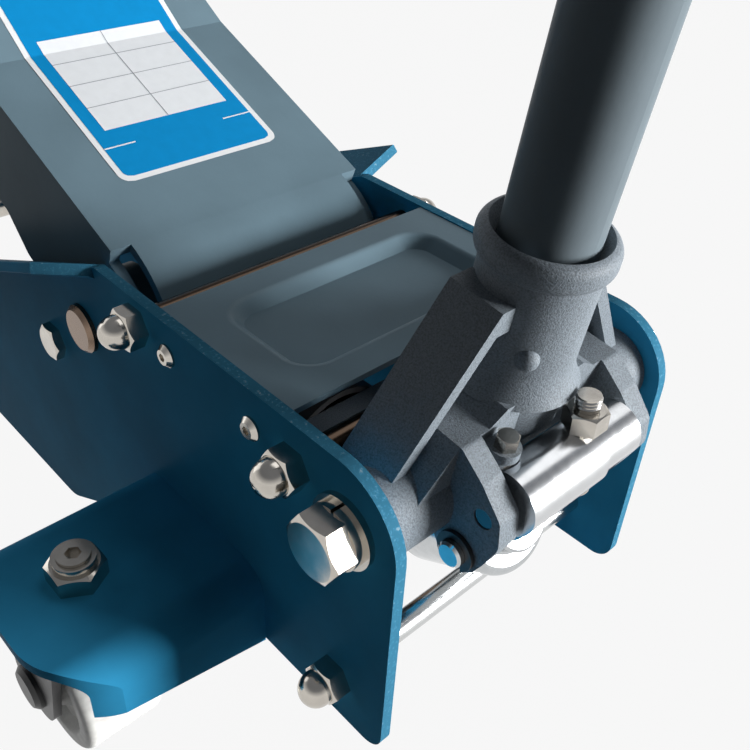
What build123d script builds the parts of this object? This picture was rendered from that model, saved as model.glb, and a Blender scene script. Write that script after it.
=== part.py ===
from build123d import *
import os
from math import atan2, cos, degrees, radians, sin, sqrt, tan

os.makedirs("parts", exist_ok=True)

# Frame of the part, in mm: +X to the handle end, -X to the saddle end, +Z up from the floor,
# x = 0 at the rear edge of the side plates and y = 0 midway between them.

# Fits
FIT = 0.1  # radial room round a clamped pin, bolt or tube
RUN = 0.06  # radial room of a turning fit
ROOM = 0.4  # room between faces that pass each other

# Widths: the side plates stand clear of the lift arm
ARM_HALF = 71.0
ARM_GAP = 4.0
PLATE = 5.0
INNER = ARM_HALF + ARM_GAP
HALF = INNER + PLATE

# Side plates
TOP = 200.5
TAIL = 64.0
SLOPE_X = -189.0
SLOPE = 23.0
KNEE_X = -390.0
NOSE_X = -631.0
FLANGE_WIDE = 25.0
FLANGE_END_X = KNEE_X + 12

# Wheels
WHEEL_R = 38.0
FRONT_AXLE_X = -600.0
FRONT_AXLE_R = 10.0
FRONT_WHEEL_IN = HALF + 3.0
FRONT_WHEEL_HALF = 21.0

# Points in the side view
PIVOT = (-25.0, 172.0)
LIFT = (-208.0, 160.0)
KEEPER = (-244.0, 134.0)
TIES = ((-28.0, 86.0), (-54.0, 181.0), (-157.0, 188.0))
COVER_SCREWS = ((-134.0, 185.0), (-78.0, 183.0))
UNIT_BOLT = (-103.0, 86.0)

PIVOT_R = 8.0
LIFT_R = 12.0
TIE_R = 5.0
COVER_SCREW_R = 3.0
KEEPER_R = 5.0
UNIT_BOLT_R = 6.0

# Lift arm: the rear part slopes by ARM_TILT, the front part by ARM_BEND more
ARM_TILT = 22.2
ARM_BEND = 14.0
ARM_TOP = 49.0
ARM_WALL = 5.0
ARM_BEND_AT = 124.7
TONGUE_HALF = 61.0
TONGUE_DEG = 66.0
ARM_REACH = 400.0
ARM_REACH_DEG = 32.65
ARM_FRONT_HALF = 50.0
ARM_DEPTH = 64.0
BUSH_WALL = 4.0
BOSS_IN = 48.0
SADDLE_PIN_R = 9.0
SADDLE_R = 46.0
SADDLE_STUD_R = 11.0
SADDLE_NOTCH = 18.0
RAM_LEVER = 66.0
RAM_LEVER_DEG = 22.0
RAM_PIN_R = 8.0

# Levelling link, parallel to the lift arm
LINK = (-20.0, -34.0)
LINK_PIN_R = 6.0
LINK_IN = 33.0
LINK_THICK = 6.0
LINK_HIGH = 8.0

# Power unit
RAM_Z = 100.0
RAM_R = 14.0
TANK_R = 36.0
TANK_WALL = 3.0
BLOCK_REAR = -88.0
BLOCK_FRONT = -118.0
CAP_FRONT = -168.0
CAP_THICK = 12.0
RAM_SLOT_ROOM = 2.0
PUMP_TILT = 30.0
CUP_R = 27.0
CUP_LONG = 43.0
CUP_FLOOR = 4.0
CUP_PAD_R = 16.0
CUP_DROP = 19.4
PUMP_STROKE = 25.4
BARREL_R = 16.0
STEM_R = 8.0
STEM_LONG = 41.0

# Handle and socket
HANDLE_LEAN = 7.2
HANDLE_R = 17.5
HANDLE_WALL = 3.0
HANDLE_LONG = 1000.0
HANDLE_SET = -4.0
SOCKET_R = 22.0
SOCKET_TOP = 88.0
SOCKET_FOOT = 18.0
SOCKET_FLOOR = 24.0
RIM_R = 25.0
STRAP_THICK = 5.5
STRAP_FRONT = -20.0
STRAP_REAR = 4.0
BASE_TOP = 31.0
BASE_FRONT = -16.0
BASE_REAR = 13.5
EAR_IN = 35.0
EAR_THICK = 10.0
ROLLER_AT = (24.0, -13.5)
ROLLER_R = 10.5
ROLLER_PIN_R = 5.5
BARREL_AT = (30.0, 9.6)
CROSS_R = 13.2
CROSS_SMALL_R = 11.8
JOURNAL_R = 4.0

# Casters
CASTER = (-123.5, HALF + 58.0)
CASTER_TRAIL = 14.0
CASTER_TOP = 105.0
CASTER_SHEET = 5.0
CASTER_FRONT = -166.0
CASTER_REAR = -74.0
CASTER_END = CASTER[1] + 36.0
CASTER_CORNER = 34.0
STUD_R = 7.0
FORK_HALF = 25.0
FORK_SHEET = 4.0
CASTER_WHEEL_HALF = 19.0
CASTER_AXLE_R = 6.0

# Cover
COVER_FRONT = -145.0
COVER_REAR = -60.0
COVER_SHEET = 2.5
COVER_TOP = TOP - 0.5
RECESS_IN = 14.5
RECESS_SIDE = 17.0
RECESS_DEEP = 5.5
RECESS_CORNER = 14.0


def xz(y):
    """Side-view plane at this y; a positive extrusion runs to -Y."""
    return Plane.XZ.offset(-y)


def outward(x, z, side, y=HALF):
    """Plane on the outside of one plate, facing away from the middle."""
    return Plane(origin=(x, side * y, z), x_dir=(1, 0, 0), z_dir=(0, side, 0))


def hexagon(plane, across, height, bore=0.0):
    """Nut or bolt head with its outer corners turned off."""
    corner = across / sqrt(3)
    face = 0.47 * across
    with BuildPart() as nut:
        with BuildSketch(plane):
            RegularPolygon(corner, 6)
            if bore:
                Circle(bore, mode=Mode.SUBTRACT)
        extrude(amount=height)
        with BuildSketch(Plane(origin=plane.origin, x_dir=plane.x_dir, z_dir=-plane.y_dir)):
            with BuildLine():
                Polyline(
                    (0, 0),
                    (corner, 0),
                    (corner, height - (corner - face) * tan(radians(30))),
                    (face, height),
                    (0, height),
                    close=True,
                )
            make_face()
        revolve(axis=Axis(plane.origin, plane.z_dir), mode=Mode.INTERSECT)
    add(nut.part)


def disc(plane, radius, height, bore=0.0):
    with BuildSketch(plane) as outline:
        Circle(radius)
        if bore:
            Circle(bore, mode=Mode.SUBTRACT)
    extrude(outline.sketch, amount=height)


def rod(x, z, radius, y0, y1):
    """Round bar along Y."""
    with BuildSketch(xz(y1)) as outline:
        with Locations((x, z)):
            Circle(radius)
    extrude(outline.sketch, amount=y1 - y0)


def wheel(x, y, z, radius, half, bore):
    with BuildSketch(Plane(origin=(x, y, z), x_dir=(1, 0, 0), z_dir=(0, 0, 1))) as outline:
        with BuildLine():
            FilletPolyline(
                (bore, -half),
                (bore + 8, -half),
                (bore + 11, -half + 5),
                (radius - 12, -half + 5),
                (radius - 9, -half),
                (radius, -half),
                (radius, half),
                (radius - 9, half),
                (radius - 12, half - 5),
                (bore + 11, half - 5),
                (bore + 8, half),
                (bore, half),
                radius=[0, 0, 0, 0, 2, 4, 4, 2, 0, 0, 0, 0],
                close=True,
            )
        make_face()
    revolve(outline.sketch, axis=Axis((x, y, z), (0, 1, 0)))


def save(piece, name):
    piece.part.label = name
    export_step(piece.part, f"parts/{name}.step")


def save_mirrored(piece, name):
    with BuildPart() as other:
        mirror(piece.part, about=Plane.XZ)
    save(other, name)


# Derived directions and points
U = Vector(-cos(radians(ARM_TILT)), 0, sin(radians(ARM_TILT)))
N = Vector(sin(radians(ARM_TILT)), 0, cos(radians(ARM_TILT)))
U2 = U * cos(radians(ARM_BEND)) + N * sin(radians(ARM_BEND))
N2 = N * cos(radians(ARM_BEND)) - U * sin(radians(ARM_BEND))
LIFT_O = Vector(LIFT[0], 0, LIFT[1])
BEND_O = LIFT_O + U * ARM_BEND_AT + N * ARM_TOP
ARM = Plane(origin=LIFT_O, x_dir=U, z_dir=(0, 1, 0))
ARM2 = Plane(origin=BEND_O, x_dir=U2, z_dir=(0, 1, 0))
ARM2_TOP = Plane(origin=BEND_O, x_dir=U2, z_dir=N2)

SADDLE_X = LIFT[0] - ARM_REACH * cos(radians(ARM_REACH_DEG))
SADDLE_Z = LIFT[1] + ARM_REACH * sin(radians(ARM_REACH_DEG))
TO_SADDLE = Vector(SADDLE_X, 0, SADDLE_Z) - BEND_O
S2 = (TO_SADDLE.dot(U2), TO_SADDLE.dot(N2))
LINK_REAR = (LIFT[0] + LINK[0], LIFT[1] + LINK[1])
LINK_FRONT = (SADDLE_X + LINK[0], SADDLE_Z + LINK[1])
RAM_PIN = (
    LIFT[0] - RAM_LEVER * sin(radians(RAM_LEVER_DEG)),
    LIFT[1] - RAM_LEVER * cos(radians(RAM_LEVER_DEG)),
)
TO_RAM = Vector(RAM_PIN[0], 0, RAM_PIN[1]) - LIFT_O
RAM_LOCAL = (TO_RAM.dot(U), TO_RAM.dot(N))

HX = Vector(cos(radians(HANDLE_LEAN)), 0, -sin(radians(HANDLE_LEAN)))
HZ = Vector(sin(radians(HANDLE_LEAN)), 0, cos(radians(HANDLE_LEAN)))
PIVOT_O = Vector(PIVOT[0], 0, PIVOT[1])
HANDLE_O = PIVOT_O + HX * HANDLE_SET
HANDLE = Plane(origin=HANDLE_O, x_dir=HX, z_dir=HZ)
SOCKET_SIDE = Plane(origin=PIVOT_O, x_dir=HX, z_dir=(0, -1, 0))
SOCKET_FRONT = Plane(origin=PIVOT_O, x_dir=(0, 1, 0), z_dir=HX)
ROLLER_O = PIVOT_O + HX * ROLLER_AT[0] + HZ * ROLLER_AT[1]

PUMP_D = Vector(-cos(radians(PUMP_TILT)), 0, -sin(radians(PUMP_TILT)))
PUMP_N = Vector(-sin(radians(PUMP_TILT)), 0, cos(radians(PUMP_TILT)))
CUP_O = ROLLER_O + PUMP_D * CUP_DROP - PUMP_N * 10.5
CUP_PAD = CUP_DROP - ROLLER_R - ROOM
PUMP = Plane(origin=CUP_O, x_dir=PUMP_N, z_dir=PUMP_D)


# Side plates
with BuildPart() as side_plate_left:
    knee_z = TOP - (SLOPE_X - KNEE_X) * tan(radians(SLOPE))
    with BuildSketch(xz(-INNER)):
        with BuildLine():
            FilletPolyline(
                (0, TAIL),
                (0, TOP),
                (SLOPE_X, TOP),
                (KNEE_X, knee_z),
                (NOSE_X + 34, WHEEL_R + 42),
                (NOSE_X, WHEEL_R + 20),
                (NOSE_X, 12),
                (-262, 12),
                (-172, TAIL),
                radius=[10, 30, 4, 60, 20, 14, 24, 24, 24],
                close=True,
            )
        make_face()
        with Locations(PIVOT):
            Circle(PIVOT_R + FIT, mode=Mode.SUBTRACT)
        with Locations(LIFT):
            Circle(LIFT_R + FIT, mode=Mode.SUBTRACT)
        with Locations((FRONT_AXLE_X, WHEEL_R)):
            Circle(FRONT_AXLE_R + FIT, mode=Mode.SUBTRACT)
        with Locations(*TIES):
            Circle(TIE_R + FIT, mode=Mode.SUBTRACT)
        with Locations(*COVER_SCREWS):
            Circle(COVER_SCREW_R + FIT, mode=Mode.SUBTRACT)
        with Locations(KEEPER):
            Circle(KEEPER_R + FIT, mode=Mode.SUBTRACT)
        with Locations(UNIT_BOLT):
            Circle(UNIT_BOLT_R + FIT, mode=Mode.SUBTRACT)
    extrude(amount=PLATE)
    along = Vector(-cos(radians(SLOPE)), 0, -sin(radians(SLOPE)))
    flange_start = Vector(SLOPE_X, -HALF, TOP) + along * 3
    with BuildSketch(Plane(origin=flange_start, x_dir=(0, -1, 0), z_dir=along)):
        with BuildLine():
            FilletPolyline(
                (-PLATE, -9),
                (-PLATE, -1),
                (-3.4, 0.4),
                (FLANGE_WIDE - 1, 10.3),
                (FLANGE_WIDE + 0.8, 5.7),
                (2.5, -2.8),
                (0, -5),
                (0, -9),
                radius=[0, 0, 3, 0.8, 0.8, 3, 0, 0],
                close=True,
            )
        make_face()
    extrude(amount=(SLOPE_X - FLANGE_END_X) / cos(radians(SLOPE)))
save(side_plate_left, "side_plate_left")
save_mirrored(side_plate_left, "side_plate_right")

# Caster brackets, open below, with front and rear edges rolled down
with BuildPart() as caster_arm_left:
    mid_x = (CASTER_FRONT + CASTER_REAR) / 2
    wide = CASTER_REAR - CASTER_FRONT
    with BuildSketch(xz(-HALF)):
        with BuildLine():
            FilletPolyline(
                (CASTER_FRONT, TAIL - 20),
                (CASTER_REAR, TAIL - 20),
                (CASTER_REAR, CASTER_TOP),
                (CASTER_FRONT, CASTER_TOP),
                radius=[0, 0, 15, 15],
                close=True,
            )
        make_face()
        with BuildLine():
            FilletPolyline(
                (CASTER_FRONT + CASTER_SHEET, TAIL - 21),
                (CASTER_REAR - CASTER_SHEET, TAIL - 21),
                (CASTER_REAR - CASTER_SHEET, CASTER_TOP - CASTER_SHEET),
                (CASTER_FRONT + CASTER_SHEET, CASTER_TOP - CASTER_SHEET),
                radius=[0, 0, 15 - CASTER_SHEET, 15 - CASTER_SHEET],
                close=True,
            )
        make_face(mode=Mode.SUBTRACT)
    extrude(amount=CASTER_END - HALF + 4)
    with BuildSketch(Plane.YZ.offset(mid_x)):
        with BuildLine():
            Polyline(
                (-HALF + 1, TAIL - 1.8),
                (-CASTER_END - 5, TAIL + 17.5),
                (-CASTER_END - 5, TAIL - 40),
                (-HALF + 1, TAIL - 40),
                close=True,
            )
        make_face()
    extrude(amount=wide, both=True, mode=Mode.SUBTRACT)
    with BuildSketch(Plane.XY.offset(TAIL - 45)):
        with BuildLine():
            FilletPolyline(
                (CASTER_REAR + 1, -HALF),
                (CASTER_FRONT - 1, -HALF),
                (CASTER_FRONT - 1, -CASTER_END),
                (CASTER_REAR + 1, -CASTER_END),
                radius=[0, 0, CASTER_CORNER, CASTER_CORNER],
                close=True,
            )
        make_face()
    extrude(amount=CASTER_TOP, mode=Mode.INTERSECT)
    with Locations((CASTER[0], -CASTER[1], CASTER_TOP)):
        Hole(STUD_R + FIT, depth=CASTER_SHEET + 2)
save(caster_arm_left, "caster_arm_left")
save_mirrored(caster_arm_left, "caster_arm_right")

# Cover with a pressed recess and two screw flanges
with BuildPart() as cover_plate:
    cover_mid = (COVER_FRONT + COVER_REAR) / 2
    cover_long = COVER_REAR - COVER_FRONT
    cover_half = INNER - 0.2
    with BuildSketch(Plane.XY.offset(COVER_TOP)):
        with Locations((cover_mid, 0)):
            Rectangle(cover_long, 2 * cover_half)
    extrude(amount=-COVER_SHEET)
    with BuildSketch(Plane.XY.offset(COVER_TOP)):
        with Locations((cover_mid, cover_half - COVER_SHEET / 2), (cover_mid, COVER_SHEET / 2 - cover_half)):
            Rectangle(cover_long, COVER_SHEET)
    extrude(amount=-26)
    recess_long = cover_long - 2 * RECESS_IN
    recess_wide = 2 * (cover_half - RECESS_SIDE)
    wall = COVER_SHEET * sqrt(2)
    with BuildSketch(Plane.XY.offset(COVER_TOP)):
        with Locations((cover_mid, 0)):
            RectangleRounded(recess_long + 2 * wall, recess_wide + 2 * wall, RECESS_CORNER + wall)
    extrude(amount=-RECESS_DEEP - COVER_SHEET, taper=45)
    with BuildSketch(Plane.XY.offset(COVER_TOP)):
        with Locations((cover_mid, 0)):
            RectangleRounded(recess_long, recess_wide, RECESS_CORNER)
    extrude(amount=-RECESS_DEEP, taper=45, mode=Mode.SUBTRACT)
    recess_rim = cover_plate.part.faces().sort_by(Axis.Z)[-1].inner_wires()[0].edges()
    fillet(recess_rim, 4)
    for hole_x, hole_z in COVER_SCREWS:
        with BuildSketch(xz(HALF)):
            with Locations((hole_x, hole_z)):
                Circle(COVER_SCREW_R + FIT)
        extrude(amount=2 * HALF, mode=Mode.SUBTRACT)
save(cover_plate, "cover_plate")

with BuildPart() as cover_screws:
    for side in (-1, 1):
        for hole_x, hole_z in COVER_SCREWS:
            seat = outward(hole_x, hole_z, side)
            with Locations(seat):
                Cylinder(5.2, 1, align=(Align.CENTER, Align.CENTER, Align.MIN))
                Cylinder(COVER_SCREW_R, PLATE + 5, align=(Align.CENTER, Align.CENTER, Align.MAX))
            with Locations(seat.offset(1)):
                Cone(5.2, 3.4, 1.8, align=(Align.CENTER, Align.CENTER, Align.MIN))
            with BuildSketch(seat.offset(2.8)):
                RegularPolygon(2, 6)
            extrude(amount=-1.5, mode=Mode.SUBTRACT)
save(cover_screws, "cover_screws")

# Tie rods and acorn nuts
NUT_DEEP = 9.0
with BuildPart() as tie_rods:
    for tie_x, tie_z in TIES:
        rod(tie_x, tie_z, TIE_R, -HALF - NUT_DEEP, HALF + NUT_DEEP)
        rod(tie_x, tie_z, TIE_R + 0.5, -INNER + 0.1, INNER - 0.1)
save(tie_rods, "tie_rods")

with BuildPart() as acorn_nuts:
    for side in (-1, 1):
        for tie_x, tie_z in TIES:
            seat = outward(tie_x, tie_z, side)
            hexagon(seat, 17, 8)
            with Locations(seat.offset(8)):
                Cylinder(7.6, 1.5, align=(Align.CENTER, Align.CENTER, Align.MIN))
            with Locations(seat.offset(9.5)):
                Sphere(7.6, arc_size1=0, align=(Align.CENTER, Align.CENTER, Align.MIN))
            with BuildSketch(seat):
                Circle(TIE_R + FIT)
            extrude(amount=NUT_DEEP + 0.5, mode=Mode.SUBTRACT)
save(acorn_nuts, "acorn_nuts")

# Lift shaft, its keeper screws and the fixed anchor of the levelling link
with BuildPart() as lift_shaft:
    rod(LIFT[0], LIFT[1], LIFT_R, -HALF - 4, HALF + 4)
    shaft_ends = lift_shaft.part.edges().filter_by(GeomType.CIRCLE)
    chamfer(shaft_ends, 2)
save(lift_shaft, "lift_shaft")

with BuildPart() as keeper_screws:
    for side in (-1, 1):
        seat = outward(KEEPER[0], KEEPER[1], side)
        hexagon(seat, 17, 5)
        with Locations(seat):
            Cylinder(KEEPER_R, PLATE - 0.2, align=(Align.CENTER, Align.CENTER, Align.MAX))
save(keeper_screws, "keeper_screws")

with BuildPart() as link_anchor:
    lug_in = LINK_IN - 8
    lug_out = LINK_IN - ROOM
    with BuildSketch(xz(lug_out)):
        with Locations(LIFT):
            Circle(LIFT_R + 6)
    extrude(amount=2 * lug_out)
    for face_y in (lug_out, -lug_in):
        with BuildSketch(xz(face_y)):
            with Locations(LIFT):
                Circle(LIFT_R + 6)
            with Locations(LINK_REAR):
                Circle(LINK_PIN_R + 4)
            make_hull()
        extrude(amount=lug_out - lug_in)
    rod(LINK_REAR[0], LINK_REAR[1], LINK_PIN_R, lug_in, LINK_IN + LINK_THICK + 3)
    rod(LINK_REAR[0], LINK_REAR[1], LINK_PIN_R, -LINK_IN - LINK_THICK - 3, -lug_in)
    with BuildSketch(xz(HALF)):
        with Locations(LIFT):
            Circle(LIFT_R + FIT)
    extrude(amount=2 * HALF, mode=Mode.SUBTRACT)
save(link_anchor, "link_anchor")

# Lift arm: two deep walls, a sloping top plate and a rear edge rolled round the shaft
BUSH_R = LIFT_R + RUN + BUSH_WALL
taper_deg = degrees(atan2(ARM_HALF - ARM_FRONT_HALF, S2[0]))
WALL_D = U2 * cos(radians(taper_deg)) + Vector(0, 1, 0) * sin(radians(taper_deg))
WALL2 = Plane(origin=BEND_O - Vector(0, ARM_HALF, 0), x_dir=WALL_D, z_dir=WALL_D.cross(N2))
stretch = 1 / cos(radians(taper_deg))
with BuildPart() as lift_arm:
    low_x = ARM_BEND_AT + ARM_DEPTH * sin(radians(ARM_BEND))
    low_y = ARM_TOP - ARM_DEPTH * cos(radians(ARM_BEND))
    under_x = ARM_BEND_AT + ARM_WALL * sin(radians(ARM_BEND))
    under_y = ARM_TOP - ARM_WALL * cos(radians(ARM_BEND))
    with BuildSketch(ARM.offset(-ARM_HALF)):
        with BuildLine():
            FilletPolyline(
                (0, ARM_TOP - 2),
                (ARM_BEND_AT, ARM_TOP - 2),
                (low_x, low_y),
                (92, -14),
                (70, -25),
                (30, -28),
                (0, -28),
                radius=[0, 0, 0, 8, 8, 0, 0],
                close=True,
            )
        make_face()
        Circle(ARM_TOP - 8)
    extrude(amount=ARM_WALL)
    with BuildSketch(ARM.offset(-ARM_HALF)):
        Circle(BUSH_R + 12)
        with Locations(RAM_LOCAL):
            Circle(RAM_PIN_R + 8)
        make_hull()
    extrude(amount=ARM_WALL)
    with BuildSketch(WALL2):
        with BuildLine():
            FilletPolyline(
                (0, -1),
                (S2[0] * 0.655, -1),
                ((S2[0] - 54) * stretch, S2[1] + 15),
                (S2[0] * stretch, S2[1] + 17),
                (S2[0] * stretch, S2[1] - 20),
                (S2[0] * 0.8, -ARM_DEPTH),
                (0, -ARM_DEPTH),
                radius=[0, 6, 12, 0, 0, 14, 0],
                close=True,
            )
        make_face()
        with Locations((S2[0] * stretch, S2[1])):
            Circle(20)
    extrude(amount=ARM_WALL)
    disc(ARM.offset(-ARM_HALF + ARM_WALL), BUSH_R + 6, ARM_HALF - ARM_WALL - BOSS_IN)
    mirror(about=Plane.XZ)
    with BuildSketch(ARM.offset(-ARM_HALF)):
        with BuildLine():
            Polyline(
                (0, ARM_TOP),
                (ARM_BEND_AT, ARM_TOP),
                (under_x, under_y),
                (ARM_BEND_AT, ARM_TOP - ARM_WALL),
                (0, ARM_TOP - ARM_WALL),
                close=True,
            )
        make_face()
    extrude(amount=2 * ARM_HALF)
    with BuildSketch(ARM.offset(-TONGUE_HALF)):
        with BuildLine():
            outer = CenterArc((0, 0), ARM_TOP, 89.5, TONGUE_DEG)
            inner = CenterArc((0, 0), ARM_TOP - ARM_WALL, 89.5, TONGUE_DEG)
            Line(outer @ 0, inner @ 0)
            Line(outer @ 1, inner @ 1)
        make_face()
    extrude(amount=2 * TONGUE_HALF)
    plate_end = S2[0] * 0.645
    plate_end_half = ARM_HALF - plate_end * tan(radians(taper_deg))
    with BuildSketch(ARM2_TOP):
        with BuildLine():
            Polyline(
                (0, -ARM_HALF),
                (plate_end, -plate_end_half),
                (plate_end, plate_end_half),
                (0, ARM_HALF),
                close=True,
            )
        make_face()
    extrude(amount=-ARM_WALL)
    with BuildSketch(ARM.offset(-ARM_HALF - 1)):
        Circle(BUSH_R + FIT)
        with Locations(RAM_LOCAL):
            Circle(RAM_PIN_R + FIT)
    extrude(amount=2 * ARM_HALF + 2, mode=Mode.SUBTRACT)
    with BuildSketch(ARM2.offset(-ARM_HALF - 1)):
        with Locations(S2):
            Circle(SADDLE_PIN_R + FIT)
    extrude(amount=2 * ARM_HALF + 2, mode=Mode.SUBTRACT)
save(lift_arm, "lift_arm")

with BuildPart() as arm_bushes:
    for y0, y1 in ((-ARM_HALF, -BOSS_IN), (BOSS_IN, ARM_HALF)):
        with BuildSketch(xz(y1)):
            with Locations(LIFT):
                Circle(BUSH_R)
                Circle(LIFT_R + RUN, mode=Mode.SUBTRACT)
        extrude(amount=y1 - y0)
save(arm_bushes, "arm_bushes")

with BuildPart() as arm_spacers:
    spacer = INNER - ARM_HALF - ROOM
    for y1 in (ARM_HALF + ROOM / 2 + spacer, -ARM_HALF - ROOM / 2):
        with BuildSketch(xz(y1)):
            with Locations(LIFT):
                Circle(BUSH_R + 5)
                Circle(LIFT_R + FIT, mode=Mode.SUBTRACT)
        extrude(amount=spacer)
save(arm_spacers, "arm_spacers")

with BuildPart() as ram_pin:
    rod(RAM_PIN[0], RAM_PIN[1], RAM_PIN_R, -ARM_HALF - 1, ARM_HALF + 1)
save(ram_pin, "ram_pin")

with BuildPart() as saddle_pin:
    rod(SADDLE_X, SADDLE_Z, SADDLE_PIN_R, -ARM_FRONT_HALF - 7, ARM_FRONT_HALF + 7)
    chamfer(saddle_pin.part.edges().filter_by(GeomType.CIRCLE), 1.5)
    rod(SADDLE_X, SADDLE_Z, SADDLE_PIN_R + 4, ARM_FRONT_HALF + 1.6, ARM_FRONT_HALF + 4.6)
    rod(SADDLE_X, SADDLE_Z, SADDLE_PIN_R + 4, -ARM_FRONT_HALF - 4.6, -ARM_FRONT_HALF - 1.6)
save(saddle_pin, "saddle_pin")

# Saddle, its bracket and the levelling bars
SEAT = SADDLE_Z + 22.0
with BuildPart() as saddle_bracket:
    body_half = LINK_IN - 1.5
    with BuildSketch(xz(body_half)):
        with Locations((SADDLE_X, SADDLE_Z)):
            Circle(19)
        with Locations((SADDLE_X, SEAT - 4)):
            Rectangle(2 * (SADDLE_R - 16), 8)
        make_hull()
    extrude(amount=2 * body_half)
    with BuildSketch(xz(body_half)):
        with Locations((SADDLE_X, SADDLE_Z)):
            Circle(16)
        with Locations(LINK_FRONT):
            Circle(LINK_PIN_R + 5)
        make_hull()
    extrude(amount=2 * body_half)
    boss_half = ARM_FRONT_HALF - ARM_WALL - 2.0
    rod(SADDLE_X, SADDLE_Z, SADDLE_PIN_R + 5, -boss_half, boss_half)
    with BuildSketch(xz(HALF)):
        with Locations((SADDLE_X, SADDLE_Z)):
            Circle(SADDLE_PIN_R + RUN)
        with Locations(LINK_FRONT):
            Circle(LINK_PIN_R + FIT)
    extrude(amount=2 * HALF, mode=Mode.SUBTRACT)
    with Locations((SADDLE_X, 0, SEAT)):
        Hole(SADDLE_STUD_R + RUN, depth=10)
save(saddle_bracket, "saddle_bracket")

with BuildPart() as level_pin:
    pin_half = LINK_IN + LINK_THICK + 3
    rod(LINK_FRONT[0], LINK_FRONT[1], LINK_PIN_R, -pin_half, pin_half)
    chamfer(level_pin.part.edges().filter_by(GeomType.CIRCLE), 1)
save(level_pin, "level_pin")

with BuildPart() as level_bar_left:
    with BuildSketch(xz(-LINK_IN)):
        with Locations(LINK_REAR, LINK_FRONT):
            Circle(LINK_HIGH + 2)
        with Locations(((LINK_REAR[0] + LINK_FRONT[0]) / 2, (LINK_REAR[1] + LINK_FRONT[1]) / 2)):
            Rectangle(ARM_REACH, 2 * LINK_HIGH, rotation=-ARM_REACH_DEG)
        with Locations(LINK_REAR, LINK_FRONT):
            Circle(LINK_PIN_R + RUN, mode=Mode.SUBTRACT)
    extrude(amount=LINK_THICK)
save(level_bar_left, "level_bar_left")
save_mirrored(level_bar_left, "level_bar_right")

with BuildPart() as saddle:
    with BuildSketch(Plane(origin=(SADDLE_X, 0, SEAT), x_dir=(1, 0, 0), z_dir=(0, -1, 0))):
        with BuildLine():
            FilletPolyline(
                (0, -9),
                (SADDLE_STUD_R, -9),
                (SADDLE_STUD_R, ROOM),
                (SADDLE_R - 8, ROOM),
                (SADDLE_R, 10),
                (SADDLE_R, 24),
                (SADDLE_R - 10, 24),
                (SADDLE_R - 13, 11),
                (0, 11),
                radius=[0, 1, 0, 2, 6, 2, 2, 3, 0],
                close=True,
            )
        make_face()
    revolve(axis=Axis((SADDLE_X, 0, SEAT), (0, 0, 1)))
    with BuildSketch(Plane(origin=(SADDLE_X, 0, SEAT + 25))):
        Rectangle(3 * SADDLE_R, SADDLE_NOTCH)
        Rectangle(SADDLE_NOTCH, 3 * SADDLE_R)
    extrude(amount=-9, mode=Mode.SUBTRACT)
save(saddle, "saddle")

# Front axle and wheels
WHEEL_MID = FRONT_WHEEL_IN + FRONT_WHEEL_HALF
AXLE_END = FRONT_WHEEL_IN + 2 * FRONT_WHEEL_HALF + 1.0
with BuildPart() as front_axle:
    rod(FRONT_AXLE_X, WHEEL_R, FRONT_AXLE_R, -AXLE_END - 14, AXLE_END + 14)
    rod(FRONT_AXLE_X, WHEEL_R, FRONT_AXLE_R + 2, -INNER + 0.1, INNER - 0.1)
save(front_axle, "front_axle")

with BuildPart() as axle_nuts:
    for side in (-1, 1):
        hexagon(outward(FRONT_AXLE_X, WHEEL_R, side, AXLE_END), 30, 11, FRONT_AXLE_R + FIT)
save(axle_nuts, "axle_nuts")

with BuildPart() as front_wheel_left:
    wheel(FRONT_AXLE_X, -WHEEL_MID, WHEEL_R, WHEEL_R, FRONT_WHEEL_HALF, FRONT_AXLE_R + RUN)
save(front_wheel_left, "front_wheel_left")
save_mirrored(front_wheel_left, "front_wheel_right")

# Rear casters
RACE = 8.0
CROWN = 6.0
STUD_TOP = CASTER_TOP + 14
RACE_Z = CASTER_TOP - CASTER_SHEET - RACE
CROWN_Z = RACE_Z - ROOM - CROWN
AXLE_X = CASTER[0] - CASTER_TRAIL
with BuildPart() as caster_races:
    for side in (-1, 1):
        race = Plane(origin=(CASTER[0], side * CASTER[1], RACE_Z))
        disc(race, 24, RACE, STUD_R + FIT)
save(caster_races, "caster_races")

with BuildPart() as caster_studs:
    for side in (-1, 1):
        foot = Plane(origin=(CASTER[0], side * CASTER[1], CROWN_Z - ROOM))
        disc(foot, STUD_R, STUD_TOP - CROWN_Z + ROOM)
        disc(foot, STUD_R + 4, -4)
        with BuildSketch(Plane(origin=(CASTER[0], side * CASTER[1], STUD_TOP))):
            RegularPolygon(3.5, 6)
        extrude(amount=-4, mode=Mode.SUBTRACT)
save(caster_studs, "caster_studs")

with BuildPart() as caster_nuts:
    for side in (-1, 1):
        seat = Plane(origin=(CASTER[0], side * CASTER[1], CASTER_TOP))
        hexagon(seat, 22, 9, STUD_R + FIT)
        disc(seat, STUD_R + 2.2, 12.5, STUD_R + FIT)
save(caster_nuts, "caster_nuts")

with BuildPart() as caster_fork_left:
    for cheek_y in (-CASTER[1] + FORK_HALF, -CASTER[1] - FORK_HALF + FORK_SHEET):
        with BuildSketch(xz(cheek_y)):
            with Locations((AXLE_X, WHEEL_R)):
                Circle(18)
            with Locations((CASTER[0], CROWN_Z + CROWN - 2)):
                Rectangle(38, 4)
            make_hull()
            with Locations((AXLE_X, WHEEL_R)):
                Circle(CASTER_AXLE_R + FIT, mode=Mode.SUBTRACT)
        extrude(amount=FORK_SHEET)
    with BuildSketch(Plane.XY.offset(CROWN_Z)):
        with Locations((CASTER[0], -CASTER[1])):
            Rectangle(38, 2 * FORK_HALF)
            Circle(STUD_R + RUN, mode=Mode.SUBTRACT)
    extrude(amount=CROWN)
save(caster_fork_left, "caster_fork_left")
save_mirrored(caster_fork_left, "caster_fork_right")

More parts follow.
